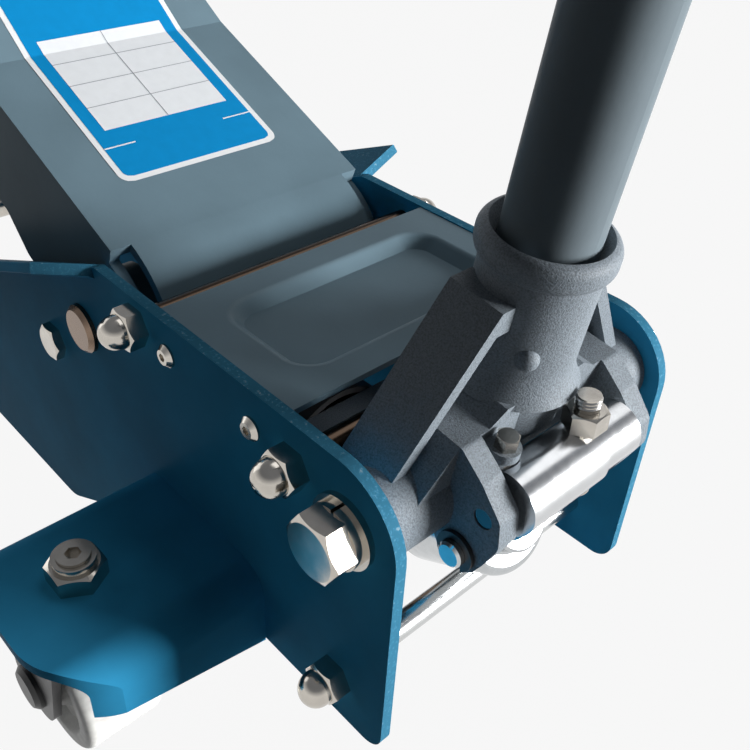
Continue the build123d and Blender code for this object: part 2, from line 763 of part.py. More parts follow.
with BuildPart() as caster_axle_left:
    end_out = -CASTER[1] - FORK_HALF
    end_in = -CASTER[1] + FORK_HALF
    rod(AXLE_X, WHEEL_R, CASTER_AXLE_R, end_out, end_in + 8)
    bolt_face = outward(AXLE_X, WHEEL_R, -1, -end_out)
    disc(bolt_face, CASTER_AXLE_R + 5, 4)
    chamfer(caster_axle_left.part.faces().sort_by(Axis.Y)[0].edges(), 2)
    hexagon(outward(AXLE_X, WHEEL_R, 1, end_in), 18, 6)
save(caster_axle_left, "caster_axle_left")
save_mirrored(caster_axle_left, "caster_axle_right")

with BuildPart() as caster_wheel_left:
    wheel(AXLE_X, -CASTER[1], WHEEL_R, WHEEL_R, CASTER_WHEEL_HALF, CASTER_AXLE_R + RUN)
save(caster_wheel_left, "caster_wheel_left")
save_mirrored(caster_wheel_left, "caster_wheel_right")

# Power unit under the cover
RELEASE = (CUP_R + 13, RAM_Z + 16)
with BuildPart() as pump_block:
    block_mid = (BLOCK_REAR + BLOCK_FRONT) / 2
    block_long = BLOCK_REAR - BLOCK_FRONT
    with BuildSketch(Plane.YZ.offset(BLOCK_FRONT)):
        with Locations((0, RAM_Z - 3)):
            RectangleRounded(96, 66, 8)
        with Locations((0, UNIT_BOLT[1])):
            Rectangle(2 * INNER - 0.2, 34)
    extrude(amount=block_long)
    with BuildSketch(Plane.YZ.offset(BLOCK_FRONT)):
        with Locations((0, RAM_Z)):
            Circle(RAM_R + RUN)
    extrude(amount=block_long - 5, mode=Mode.SUBTRACT)
    for side in (-1, 1):
        with BuildSketch(outward(UNIT_BOLT[0], UNIT_BOLT[1], side)):
            Circle(UNIT_BOLT_R + FIT)
        extrude(amount=-PLATE - 26, mode=Mode.SUBTRACT)
    with BuildSketch(Plane.YZ.offset(BLOCK_REAR)):
        with Locations(RELEASE):
            Circle(6 + RUN)
    extrude(amount=-12, mode=Mode.SUBTRACT)
save(pump_block, "pump_block")

CAP_REAR = CAP_FRONT + CAP_THICK
with BuildPart() as reservoir_tube:
    with BuildSketch(Plane.YZ.offset(CAP_REAR)):
        with Locations((0, RAM_Z)):
            Circle(TANK_R)
            Circle(TANK_R - TANK_WALL, mode=Mode.SUBTRACT)
    extrude(amount=BLOCK_FRONT - CAP_REAR)
    with Locations(((CAP_REAR + BLOCK_FRONT) / 2, 0, RAM_Z + TANK_R)):
        Hole(5 + FIT, depth=TANK_WALL + 6)
save(reservoir_tube, "reservoir_tube")

with BuildPart() as ram_cylinder:
    with BuildSketch(Plane.YZ.offset(CAP_REAR)):
        with Locations((0, RAM_Z)):
            Circle(RAM_R + 7)
            Circle(RAM_R + RUN, mode=Mode.SUBTRACT)
    extrude(amount=BLOCK_FRONT - CAP_REAR)
save(ram_cylinder, "ram_cylinder")

with BuildPart() as front_cap:
    with BuildSketch(Plane.YZ.offset(CAP_FRONT)):
        with Locations((0, RAM_Z)):
            Circle(TANK_R)
            Circle(RAM_R + RUN, mode=Mode.SUBTRACT)
    extrude(amount=CAP_THICK)
    cap_edge = front_cap.part.faces().sort_by(Axis.X)[0].edges().sort_by(SortBy.RADIUS)[-1]
    chamfer(cap_edge, 3)
save(front_cap, "front_cap")

with BuildPart() as filler_plug:
    plug = Plane(origin=((CAP_REAR + BLOCK_FRONT) / 2, 0, RAM_Z + TANK_R))
    disc(plug, 8, 4)
    disc(plug, 5, -TANK_WALL - 1)
save(filler_plug, "filler_plug")

with BuildPart() as unit_bolts:
    for side in (-1, 1):
        seat = outward(UNIT_BOLT[0], UNIT_BOLT[1], side)
        hexagon(seat, 18, 8)
        with Locations(seat):
            Cylinder(UNIT_BOLT_R, PLATE + 24, align=(Align.CENTER, Align.CENTER, Align.MAX))
save(unit_bolts, "unit_bolts")

BARREL_LONG = 80.0
with BuildPart() as pump_barrel:
    disc(PUMP.offset(CUP_FLOOR + PUMP_STROKE + 1.5), BARREL_R, BARREL_LONG)
    with BuildSketch(PUMP):
        Circle(STEM_R + RUN)
    extrude(amount=CUP_FLOOR + PUMP_STROKE + STEM_LONG + 5, mode=Mode.SUBTRACT)
    with BuildSketch(Plane.YZ.offset(BLOCK_REAR)):
        with Locations((0, RAM_Z)):
            Rectangle(4 * BARREL_R, 2 * BARREL_LONG)
    extrude(amount=-BARREL_LONG, mode=Mode.SUBTRACT)
save(pump_barrel, "pump_barrel")

with BuildPart() as plunger_cup:
    with BuildSketch(Plane(origin=CUP_O, x_dir=PUMP_N, z_dir=(0, -1, 0))):
        with BuildLine():
            FilletPolyline(
                (0, -CUP_PAD),
                (CUP_PAD_R, -CUP_PAD),
                (CUP_PAD_R, 0),
                (CUP_R, 0),
                (CUP_R, CUP_LONG),
                (CUP_R - 3, CUP_LONG),
                (CUP_R - 3, CUP_FLOOR),
                (STEM_R, CUP_FLOOR),
                (STEM_R, CUP_FLOOR + STEM_LONG),
                (0, CUP_FLOOR + STEM_LONG),
                radius=[0, 1.5, 2, 4, 1, 0, 2, 0, 0, 0],
                close=True,
            )
        make_face()
    revolve(axis=Axis(CUP_O, PUMP_D))
save(plunger_cup, "plunger_cup")

with BuildPart() as release_stem:
    stem = Plane(origin=(BLOCK_REAR - 11, RELEASE[0], RELEASE[1]), x_dir=(0, 0, 1), z_dir=(1, 0, 0))
    disc(stem, 6, 25)
    with BuildSketch(stem.offset(25)):
        RectangleRounded(16, 8, 3)
    extrude(amount=8)
save(release_stem, "release_stem")

# Ram with a slotted head that the arm's pin runs in
HEAD_LONG = RAM_PIN_R + RAM_SLOT_ROOM + 6
with BuildPart() as ram_head:
    with BuildSketch(xz(20)):
        with Locations((RAM_PIN[0], RAM_Z + 1)):
            RectangleRounded(2 * HEAD_LONG, 46, 6)
            SlotOverall(34, 2 * (RAM_PIN_R + RAM_SLOT_ROOM), rotation=90, mode=Mode.SUBTRACT)
    extrude(amount=40)
save(ram_head, "ram_head")

with BuildPart() as ram_rod:
    with BuildSketch(Plane.YZ.offset(RAM_PIN[0] + HEAD_LONG)):
        with Locations((0, RAM_Z)):
            Circle(RAM_R)
    extrude(amount=75)
save(ram_rod, "ram_rod")

# Handle socket casting: socket tube with a rolled rim, two straps to the pivot bosses, a base
# between the bosses and two ears for the cross barrel and the roller
SET_SCREW_O = PIVOT_O + HX * (BASE_REAR + 6.1) + HZ * 26.5 - Vector(0, EAR_IN - 8, 0)
SET_SCREW = Plane(origin=SET_SCREW_O, x_dir=HX, z_dir=HZ)
SET_SCREW_R = 3.0
EAR_OUT = EAR_IN + EAR_THICK
BOSS_R = PIVOT_R + 10
BOSS_OUT = INNER - 0.5
BORE_DEEP = 27.0
STRAP_END = BOSS_OUT - 8
NUB_D = HX * 0.69 - Vector(0, 0.72, 0)
with BuildPart() as handle_socket:
    disc(HANDLE.offset(SOCKET_FOOT), SOCKET_R, SOCKET_TOP - SOCKET_FOOT)
    with BuildSketch(Plane(origin=HANDLE_O, x_dir=HX, z_dir=(0, -1, 0))):
        with BuildLine():
            FilletPolyline(
                (HANDLE_R - 4, SOCKET_TOP - 6),
                (RIM_R, SOCKET_TOP - 6),
                (RIM_R, SOCKET_TOP + 6),
                (HANDLE_R - 4, SOCKET_TOP + 6),
                radius=[0, 4.5, 5, 0],
                close=True,
            )
        make_face()
        with BuildLine():
            flare = ThreePointArc((SOCKET_R, 50), (SOCKET_R + 1.4, 39.5), (SOCKET_R + 4.5, 34))
            Polyline(flare @ 1, (SOCKET_R - 4, 34), (SOCKET_R - 4, 50), flare @ 0)
        make_face()
    revolve(axis=Axis(HANDLE_O, HZ))
    strap_fall = (SOCKET_TOP - 16 - BOSS_R + 5) / (STRAP_END - 2 - SOCKET_R - 2.5)
    strap_rise = STRAP_THICK * sqrt(1 + strap_fall**2)
    strap_foot = SOCKET_TOP - 14 - (STRAP_END - SOCKET_R - 5) * strap_fall
    for side in (-1, 1):
        with BuildSketch(SOCKET_FRONT.offset(STRAP_FRONT)):
            with BuildLine():
                Polyline(
                    (side * (SOCKET_R - 6), SOCKET_TOP - 14),
                    (side * (SOCKET_R + 5), SOCKET_TOP - 14),
                    (side * STRAP_END, strap_foot),
                    (side * STRAP_END, strap_foot - strap_rise),
                    (side * (SOCKET_R + 5), SOCKET_TOP - 14 - strap_rise),
                    (side * (SOCKET_R - 6), SOCKET_TOP - 14 - strap_rise),
                    close=True,
                )
            make_face()
        extrude(amount=STRAP_REAR - STRAP_FRONT)
        with BuildSketch(SOCKET_SIDE.offset(-side * BOSS_OUT)):
            Circle(BOSS_R)
        extrude(amount=side * (BOSS_OUT - EAR_OUT + 1))
        with BuildSketch(SOCKET_SIDE.offset(-side * EAR_OUT)):
            with BuildLine():
                FilletPolyline(
                    (BASE_FRONT + 2, 4),
                    (BASE_FRONT + 2, 22),
                    (-6, BASE_TOP),
                    (BASE_REAR + 1, BASE_TOP),
                    (26, 23.5),
                    (37, 13.5),
                    (39.5, 2),
                    (35.5, -11),
                    (31, -22),
                    (17, -22),
                    (8, -9),
                    radius=[2, 4, 6, 3, 8, 5, 8, 8, 8, 8, 5],
                    close=True,
                )
            make_face()
            with Locations(BARREL_AT):
                Circle(JOURNAL_R + FIT, mode=Mode.SUBTRACT)
            with Locations(ROLLER_AT):
                Circle(ROLLER_PIN_R + FIT, mode=Mode.SUBTRACT)
        extrude(amount=side * EAR_THICK)
    with BuildSketch(SOCKET_FRONT.offset(BASE_FRONT)):
        with BuildLine():
            Polyline(
                (-STRAP_END + 4, -8),
                (-EAR_OUT, -6),
                (-EAR_IN + 1, 6),
                (EAR_IN - 1, 6),
                (EAR_OUT, -6),
                (STRAP_END - 4, -8),
                (STRAP_END - 4, 10),
                (EAR_OUT, BASE_TOP),
                (EAR_IN - 5, BASE_TOP),
                (SOCKET_R, BASE_TOP + 5),
                (-SOCKET_R, BASE_TOP + 5),
                (-EAR_IN + 5, BASE_TOP),
                (-EAR_OUT, BASE_TOP),
                (-STRAP_END + 4, 10),
                close=True,
            )
        make_face()
    extrude(amount=BASE_REAR - BASE_FRONT)
    disc(SET_SCREW, 2 * SET_SCREW_R, -4)
    with Locations(SET_SCREW.offset(-2)):
        Box(14, 4 * SET_SCREW_R, 4, align=(Align.MAX, Align.CENTER, Align.CENTER))
    with Locations(HANDLE_O + HZ * 54 + NUB_D * (SOCKET_R - 1)):
        Sphere(4.5)
    with BuildSketch(HANDLE.offset(SOCKET_FLOOR)):
        Circle(HANDLE_R + 0.3)
    extrude(amount=SOCKET_TOP + 12 - SOCKET_FLOOR, mode=Mode.SUBTRACT)
    with BuildSketch(HANDLE.offset(SOCKET_TOP + 6)):
        Circle(HANDLE_R + 4)
    extrude(amount=-7, taper=28, mode=Mode.SUBTRACT)
    with BuildSketch(SET_SCREW):
        Circle(SET_SCREW_R + FIT)
    extrude(amount=-10, mode=Mode.SUBTRACT)
    for side in (-1, 1):
        with BuildSketch(SOCKET_SIDE.offset(-side * HALF)):
            Circle(PIVOT_R + RUN)
        extrude(amount=side * (PLATE + BORE_DEEP), mode=Mode.SUBTRACT)
save(handle_socket, "handle_socket")

with BuildPart() as pivot_bolts:
    for side in (-1, 1):
        seat = outward(PIVOT[0], PIVOT[1], side)
        hexagon(seat.offset(6.5), 24, 10)
        disc(seat.offset(6.5), PIVOT_R, -6.5 - PLATE - BORE_DEEP + 1)
save(pivot_bolts, "pivot_bolts")

with BuildPart() as pivot_washers:
    for side in (-1, 1):
        disc(outward(PIVOT[0], PIVOT[1], side), 15, 2.5, PIVOT_R + FIT)
save(pivot_washers, "pivot_washers")

with BuildPart() as pivot_spring_washers:
    for side in (-1, 1):
        seat = outward(PIVOT[0], PIVOT[1], side).offset(2.5)
        with BuildSketch(seat):
            Circle(13)
            Circle(PIVOT_R + FIT, mode=Mode.SUBTRACT)
            with Locations((0, 12)):
                Rectangle(1.5, 14, mode=Mode.SUBTRACT)
        extrude(amount=4)
save(pivot_spring_washers, "pivot_spring_washers")

# Cross barrel, adjusting bolt and roller in the ears
ADJUST_Y = 9.0
ADJUST_R = 4.5
ADJUST_D = HZ * cos(radians(8.6)) - HX * sin(radians(8.6))
ADJUST_O = PIVOT_O + HX * BARREL_AT[0] + HZ * BARREL_AT[1] + Vector(0, ADJUST_Y, 0)
ADJUST = Plane(origin=ADJUST_O, x_dir=(0, 1, 0), z_dir=ADJUST_D)
STEP_Y = ADJUST_Y + 1
with BuildPart() as cross_barrel:
    with BuildSketch(SOCKET_SIDE.offset(EAR_OUT - 0.5)):
        with Locations(BARREL_AT):
            Circle(JOURNAL_R)
    extrude(amount=-2 * EAR_OUT + 1)
    with BuildSketch(SOCKET_SIDE.offset(EAR_IN - 2)):
        with Locations(BARREL_AT):
            Circle(CROSS_R)
    extrude(amount=-EAR_IN + 2 - STEP_Y)
    with BuildSketch(SOCKET_SIDE.offset(-STEP_Y)):
        with Locations(BARREL_AT):
            Circle(CROSS_SMALL_R)
    extrude(amount=-EAR_IN + 2 + STEP_Y)
    with BuildSketch(ADJUST.offset(-30)):
        Circle(ADJUST_R + FIT)
    extrude(amount=60, mode=Mode.SUBTRACT)
save(cross_barrel, "cross_barrel")

with BuildPart() as adjusting_bolt:
    disc(ADJUST.offset(-CROSS_R), ADJUST_R, 2 * CROSS_R + 14)
    disc(ADJUST.offset(-CROSS_R), ADJUST_R + 2.5, -3)
save(adjusting_bolt, "adjusting_bolt")

with BuildPart() as adjusting_nut:
    hexagon(ADJUST.offset(CROSS_R), 15, 8, ADJUST_R + FIT)
save(adjusting_nut, "adjusting_nut")

with BuildPart() as set_screw:
    hexagon(SET_SCREW, 8, 5)
    disc(SET_SCREW, SET_SCREW_R, -5)
save(set_screw, "set_screw")

ROLLER_Y = (-19.0, 1.0)
with BuildPart() as roller_pin:
    rod(ROLLER_O.X, ROLLER_O.Z, ROLLER_PIN_R, -EAR_OUT - 5, EAR_OUT + 5)
    chamfer(roller_pin.part.edges().filter_by(GeomType.CIRCLE), 1)
save(roller_pin, "roller_pin")

with BuildPart() as roller_clips:
    for side in (-1, 1):
        with BuildSketch(outward(ROLLER_O.X, ROLLER_O.Z, side, EAR_OUT + 0.1)):
            Circle(8.4)
            Circle(ROLLER_PIN_R + FIT, mode=Mode.SUBTRACT)
            with Locations((0, -9)):
                Rectangle(8, 10, mode=Mode.SUBTRACT)
        extrude(amount=1.8)
save(roller_clips, "roller_clips")

with BuildPart() as pump_roller:
    with BuildSketch(xz(ROLLER_Y[1])):
        with Locations((ROLLER_O.X, ROLLER_O.Z)):
            Circle(ROLLER_R)
            Circle(ROLLER_PIN_R + RUN, mode=Mode.SUBTRACT)
    extrude(amount=ROLLER_Y[1] - ROLLER_Y[0])
save(pump_roller, "pump_roller")

# Handle
TUBE_START = SOCKET_FLOOR + ROOM
with BuildPart() as handle_tube:
    disc(HANDLE.offset(TUBE_START), HANDLE_R, HANDLE_LONG, HANDLE_R - HANDLE_WALL)
save(handle_tube, "handle_tube")

GRIP_LONG = 130.0
with BuildPart() as handle_grip:
    grip_start = TUBE_START + HANDLE_LONG - GRIP_LONG + 4
    disc(HANDLE.offset(grip_start), HANDLE_R + 3.5, GRIP_LONG)
    grip_ends = handle_grip.part.edges().filter_by(GeomType.CIRCLE)
    fillet(grip_ends, 3)
    with BuildSketch(HANDLE.offset(grip_start - 1)):
        Circle(HANDLE_R + FIT)
    extrude(amount=GRIP_LONG - 3 + FIT, mode=Mode.SUBTRACT)
save(handle_grip, "handle_grip")
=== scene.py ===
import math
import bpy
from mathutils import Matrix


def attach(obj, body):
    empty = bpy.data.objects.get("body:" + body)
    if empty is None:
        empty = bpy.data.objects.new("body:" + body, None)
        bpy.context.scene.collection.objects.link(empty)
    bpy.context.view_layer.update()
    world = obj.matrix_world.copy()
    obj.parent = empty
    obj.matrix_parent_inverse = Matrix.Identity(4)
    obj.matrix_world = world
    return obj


bl_info = {
    "name": "Trolley jack finishes",
    "version": (1, 0, 0),
    "blender": (4, 5, 0),
    "location": "3D View > Sidebar > Jack",
    "description": "Paint, castings, plated hardware, label and studio for the trolley jack",
    "category": "Object",
}

import bmesh
import bpy
from bpy.props import FloatProperty, FloatVectorProperty, PointerProperty
from mathutils import Matrix, Vector

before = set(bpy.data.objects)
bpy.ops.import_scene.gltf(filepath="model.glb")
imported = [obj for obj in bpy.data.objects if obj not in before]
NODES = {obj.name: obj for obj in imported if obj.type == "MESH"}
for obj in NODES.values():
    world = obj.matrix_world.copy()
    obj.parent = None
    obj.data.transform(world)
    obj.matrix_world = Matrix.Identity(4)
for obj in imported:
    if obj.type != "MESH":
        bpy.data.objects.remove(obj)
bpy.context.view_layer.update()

# Pieces by finish; every other piece is bright zinc
PLATE_PARTS = ("side_plate_left", "side_plate_right")
BLUE_PARTS = ("caster_arm_left", "caster_arm_right")
COVER_PARTS = ("cover_plate",)
GREY_PARTS = ("lift_arm", "saddle_bracket", "level_bar_left", "level_bar_right", "link_anchor")
HANDLE_PARTS = ("handle_tube",)
CAST_PARTS = ("handle_socket", "pump_block", "saddle")
POLISHED_PARTS = ("plunger_cup", "ram_rod", "roller_pin", "pump_roller")
BARREL_PARTS = ("cross_barrel",)
ROD_PARTS = ("tie_rods",)
# Shafts, pins and pump cylinders: a dark brown tone that is painted shade and a painted brown reflection
SHADE_BROWN_PARTS = ("lift_shaft", "ram_pin", "saddle_pin", "level_pin", "pump_barrel", "ram_cylinder")
BLACK_PARTS = (
    "caster_fork_left",
    "caster_fork_right",
    "caster_axle_left",
    "caster_axle_right",
    "caster_races",
    "roller_clips",
    "reservoir_tube",
    "front_cap",
)
NYLON_PARTS = ("caster_wheel_left", "caster_wheel_right", "front_wheel_left", "front_wheel_right")
RUBBER_PARTS = ("handle_grip", "filler_plug")
BRONZE_PARTS = ("arm_bushes",)
DRESSED_PARTS = (
    *PLATE_PARTS,
    *BLUE_PARTS,
    *COVER_PARTS,
    *GREY_PARTS,
    *HANDLE_PARTS,
    *CAST_PARTS,
    *POLISHED_PARTS,
    *BARREL_PARTS,
    *ROD_PARTS,
    *SHADE_BROWN_PARTS,
    *BLACK_PARTS,
    *NYLON_PARTS,
    *RUBBER_PARTS,
    *BRONZE_PARTS,
)

# Photo camera, in metres; the lens and the sensor are in millimetres
CAMERA_PLACE = Vector((0.13385, -0.22913, 0.40018))
CAMERA_LOOK = Vector((-0.56782, 0.56795, -0.59583))
CAMERA_UP = Vector((-0.46292, 0.37819, 0.80167))
CAMERA_LENS = 43.42
CAMERA_SENSOR = 36.0
CAMERA_NEAR = 0.01

# Lift arm's top surface, in metres, for the label
LIFT_PIVOT = Vector((-0.208, 0.0, 0.160))
ARM_TILT = math.radians(22.2)
ARM_BEND = math.radians(14.0)
ARM_TOP = 0.049
ARM_BEND_AT = 0.1247

# Blank label, in metres: its corners, its print, and how high each layer lies on the arm
LABEL_CORNER = 0.006
FIELD_CORNER = 0.004
CELL_ROWS = 4
CELL_LONG = 0.0164
CELLS_FROM = 0.0338
CELLS_INSET = 0.0098
RULING = 0.0004
RULE_FROM = 0.0222
RULE_LONG = 0.0165
BORDER_LIFT = 0.0002
FIELD_LIFT = 0.0003
PANEL_LIFT = 0.0004
RULING_LIFT = 0.0005
SHEET_ROWS = 190
STRIP_ROWS = 2

# Bright lengths of the cross barrel and of the lowest tie rod, in metres; the tie rods above the lowest are
# darkened, partly oxide and partly painted shade
BARREL_HALF = 0.036
LOW_ROD_TOP = 0.13

# Handle axis, adjusting bolt and front axle, in metres
HANDLE_PIVOT = Vector((-0.025, 0.0, 0.172))
HANDLE_LEAN = math.radians(7.2)
ADJUST_LEAN = math.radians(8.6)
ADJUST_PLACE = Vector((0.030, 0.009, 0.0096))
ADJUST_RADIUS = 0.0045
ADJUST_THREAD = (0.0214, 0.0271)
FRONT_AXLE = Vector((-0.6, 0.0, 0.038))
FRONT_AXLE_RADIUS = 0.010
FRONT_THREAD = (0.1371, 0.1398)

# Thread ridge: how far its foot sinks into the bar, in metres, its height and the front axle's pitch as
# shares of the pitch, and the steps of one turn
THREAD_SINK = 0.0001
THREAD_HEIGHT = 0.35
FINE_PITCH = 0.5
THREAD_STEPS = 28

# Sheen of the paints, as the shader's specular level
BLUE_SHEEN = 0.007
GREY_SHEEN = 0.02
COVER_SHEEN = 0.16
CAST_SHEEN = 0.20
MOULDED_SHEEN = 0.5
LABEL_SHEEN = 0.02

# A face of a side plate that looks across the jack by less than this share is a cut edge
CUT_EDGE = 0.6

# Metals, black paint, rubber and the label's thin lines
POLISHED_STEEL = (0.58, 0.60, 0.61)
BARREL_BRIGHT = (0.62, 0.63, 0.64)
BARREL_DULL = (0.10, 0.105, 0.11)
ROD_BRIGHT = (0.60, 0.61, 0.61)
# Upper tie rods: dark brown, partly oxidised steel and partly painted shade for the shadow in the gap
# between lift arm and cover
ROD_OXIDE_AND_SHADE = (0.07, 0.048, 0.034)
# Dark brown steel of the shafts and pins: painted shade and a painted brown reflection
SHADE_BROWN_STEEL = (0.24, 0.17, 0.125)
THREAD_STEEL = (0.50, 0.49, 0.47)
BUSH_BRONZE = (0.60, 0.42, 0.22)
BLACK_PAINT = (0.012, 0.012, 0.013)
BLACK_RUBBER = (0.018, 0.018, 0.018)
RULING_GREY = (0.30, 0.32, 0.36)

# Studio: floor, backdrop and lamps, in metres and watts
FLOOR_HALF = 40.0
FLOOR_DROP = 0.0005
FLOOR_GREY = (0.12, 0.125, 0.13, 1.0)
FLOOR_ROUGHNESS = 0.8
FLOOR_WHITE = 0.92
WHITE = (1.0, 1.0, 1.0, 1.0)
SKY_TINT = (0.86, 0.92, 1.0, 1.0)
SKY_STRENGTH = 0.046
BACKDROP = [(0.05, WHITE), (0.6, (0.22, 0.23, 0.25, 1.0))]
LAMP_AIM = Vector((-0.12, 0.0, 0.15))
LAMPS = (
    ("low_window", Vector((1.567, 1.226, 0.42)), 0.7, 96.0),
    ("high_window", Vector((-0.226, 1.214, 2.10)), 1.6, 11.0),
    ("front_fill", Vector((-2.307, -0.386, 0.745)), 1.6, 7.0),
)

SIDES = ((-1, "left"), (1, "right"))


class JackSizes(bpy.types.PropertyGroup):
    """Sizes of the pieces that are added to the solids"""

    label_start: FloatProperty(
        name="Label start",
        description="Distance of the label's rear edge from the arm's pivot, along the arm",
        default=0.033,
        unit="LENGTH",
    )
    label_long: FloatProperty(
        name="Label length",
        description="Length of the label along the arm",
        default=0.19,
        unit="LENGTH",
    )
    label_half: FloatProperty(
        name="Label half width",
        description="Half of the label's width across the lift arm",
        default=0.0448,
        unit="LENGTH",
    )
    label_edge: FloatProperty(
        name="Label border",
        description="Width of the label's pale border",
        default=0.003,
        unit="LENGTH",
    )
    thread_pitch: FloatProperty(
        name="Thread pitch",
        description="Rise of one thread turn on the adjusting bolt; the front axle has half of it",
        default=0.0014,
        unit="LENGTH",
    )


class JackColours(bpy.types.PropertyGroup):
    """Colours of the finishes"""

    blue: FloatVectorProperty(
        name="Frame blue",
        description="Metallic paint of the side plates and caster brackets",
        subtype="COLOR",
        size=4,
        default=(0.033, 0.28, 0.505, 1.0),
    )
    edge_blue: FloatVectorProperty(
        name="Edge blue",
        description="Thin paint on the cut edges of the side plates",
        subtype="COLOR",
        size=4,
        default=(0.035, 0.155, 0.247, 1.0),
    )
    edge_bare: FloatVectorProperty(
        name="Edge metal",
        description="Metal that shows through the thin paint of the cut edges",
        subtype="COLOR",
        size=4,
        default=(0.24, 0.34, 0.40, 1.0),
    )
    grey: FloatVectorProperty(
        name="Arm grey",
        description="Paint of the lift arm, cover and levelling parts",
        subtype="COLOR",
        size=4,
        default=(0.144, 0.219, 0.265, 1.0),
    )
    handle: FloatVectorProperty(
        name="Handle grey",
        description="Paint of the handle tube",
        subtype="COLOR",
        size=4,
        default=(0.147, 0.18, 0.20, 1.0),
    )
    casting: FloatVectorProperty(
        name="Casting grey",
        description="Painted rough castings",
        subtype="COLOR",
        size=4,
        default=(0.185, 0.215, 0.242, 1.0),
    )
    zinc: FloatVectorProperty(
        name="Bright zinc",
        description="Plating of the fasteners",
        subtype="COLOR",
        size=4,
        default=(0.58, 0.545, 0.49, 1.0),
    )
    nylon: FloatVectorProperty(
        name="Wheel nylon",
        description="Pale nylon of the caster wheels and front wheels",
        subtype="COLOR",
        size=4,
        default=(0.84, 0.835, 0.80, 1.0),
    )
    label_blue: FloatVectorProperty(
        name="Label blue",
        description="Field of the blank label",
        subtype="COLOR",
        size=4,
        default=(0.0045, 0.246, 0.56, 1.0),
    )
    label_border: FloatVectorProperty(
        name="Label border",
        description="Pale border and short rules of the blank label",
        subtype="COLOR",
        size=4,
        default=(0.80, 0.82, 0.83, 1.0),
    )
    label_panel: FloatVectorProperty(
        name="Label panel",
        description="Empty cells of the blank label",
        subtype="COLOR",
        size=4,
        default=(0.78, 0.805, 0.83, 1.0),
    )


def new_material(name):
    """A material with its principled shader and its object coordinates."""
    material = bpy.data.materials.new(name)
    material.use_nodes = True
    tree = material.node_tree
    shader = tree.nodes["Principled BSDF"]
    place = tree.nodes.new("ShaderNodeTexCoord")
    return material, tree, shader, place.outputs["Object"]


def noise(tree, place, scale, detail=4.0, roughness=0.5):
    """Noise from 0 to 1 over the given coordinates."""
    node = tree.nodes.new("ShaderNodeTexNoise")
    node.inputs["Scale"].default_value = scale
    node.inputs["Detail"].default_value = detail
    node.inputs["Roughness"].default_value = roughness
    tree.links.new(place, node.inputs["Vector"])
    return node.outputs["Fac"]


def shade(colour, gain):
    """The colour, darker or lighter by a gain, and opaque."""
    return (colour[0] * gain, colour[1] * gain, colour[2] * gain, 1.0)


def ramp(tree, factor, stops):
    """A colour for each value of the factor, from stops of a position and a colour."""
    node = tree.nodes.new("ShaderNodeValToRGB")
    elements = node.color_ramp.elements
    elements[0].position, elements[0].color = stops[0]
    elements[1].position, elements[1].color = stops[-1]
    for position, colour in stops[1:-1]:
        elements.new(position).color = colour
    tree.links.new(factor, node.inputs["Fac"])
    return node.outputs["Color"]


def mottle(tree, factor, colour, *gains):
    """One colour, darker or lighter by the gain at each position of the factor."""
    return ramp(tree, factor, [(position, shade(colour, gain)) for position, gain in gains])


def span(tree, factor, low, high):
    """A factor from 0 to 1 as a number between low and high."""
    node = tree.nodes.new("ShaderNodeMapRange")
    node.inputs["To Min"].default_value = low
    node.inputs["To Max"].default_value = high
    tree.links.new(factor, node.inputs["Value"])
    return node.outputs["Result"]


def work_out(tree, operation, value, limit=None):
    """The result of a math node on a value and, where it takes one, a limit."""
    node = tree.nodes.new("ShaderNodeMath")
    node.operation = operation
    tree.links.new(value, node.inputs[0])
    if limit is not None:
        node.inputs[1].default_value = limit
    return node.outputs["Value"]


def size_along(tree, vector, axis):
    """How far a vector reaches along an axis, to either side."""
    split = tree.nodes.new("ShaderNodeSeparateXYZ")
    tree.links.new(vector, split.inputs["Vector"])
    return work_out(tree, "ABSOLUTE", split.outputs[axis])


def coat(tree, shader, tone, roughness):
    """Gives the shader its colour and its roughness."""
    tree.links.new(tone, shader.inputs["Base Color"])
    tree.links.new(roughness, shader.inputs["Roughness"])


def bump(tree, shader, height, strength, distance):
    """Fine relief from a grain."""
    node = tree.nodes.new("ShaderNodeBump")
    node.inputs["Strength"].default_value = strength
    node.inputs["Distance"].default_value = distance
    tree.links.new(height, node.inputs["Height"])
    tree.links.new(node.outputs["Normal"], shader.inputs["Normal"])


def worn_edges(tree, place, tone, edge, bare):
    """The paint's tone on the broad sides, and a thinner, speckled coat on the cut edges of a plate."""
    across = size_along(tree, place.node.outputs["Normal"], "Y")
    cut = work_out(tree, "LESS_THAN", across, CUT_EDGE)
    specks = noise(tree, place, scale=620.0, detail=3.0, roughness=0.65)
    worn = ramp(tree, specks, [(0.52, shade(edge, 1.0)), (0.62, shade(edge, 1.3)), (0.74, shade(bare, 1.0))])
    mix = tree.nodes.new("ShaderNodeMix")
    mix.data_type = "RGBA"
    tree.links.new(cut, mix.inputs[0])
    tree.links.new(tone, mix.inputs[6])
    tree.links.new(worn, mix.inputs[7])
    return mix.outputs[2]


def metallic_paint(name, colour, edge=None, bare=None):
    """Blue paint with fine flakes; with the edge colours, also the worn cut edges of a plate."""
    material, tree, shader, place = new_material(name)
    cloud = noise(tree, place, scale=22.0, detail=5.0)
    flakes = noise(tree, place, scale=2600.0, detail=1.0)
    tone = mottle(tree, cloud, colour, (0.35, 0.88), (0.7, 1.12))
    if edge is not None:
        tone = worn_edges(tree, place, tone, edge, bare)
    coat(tree, shader, tone, span(tree, flakes, low=0.34, high=0.50))
    bump(tree, shader, flakes, strength=0.12, distance=0.0002)
    shader.inputs["Specular IOR Level"].default_value = BLUE_SHEEN
    return material


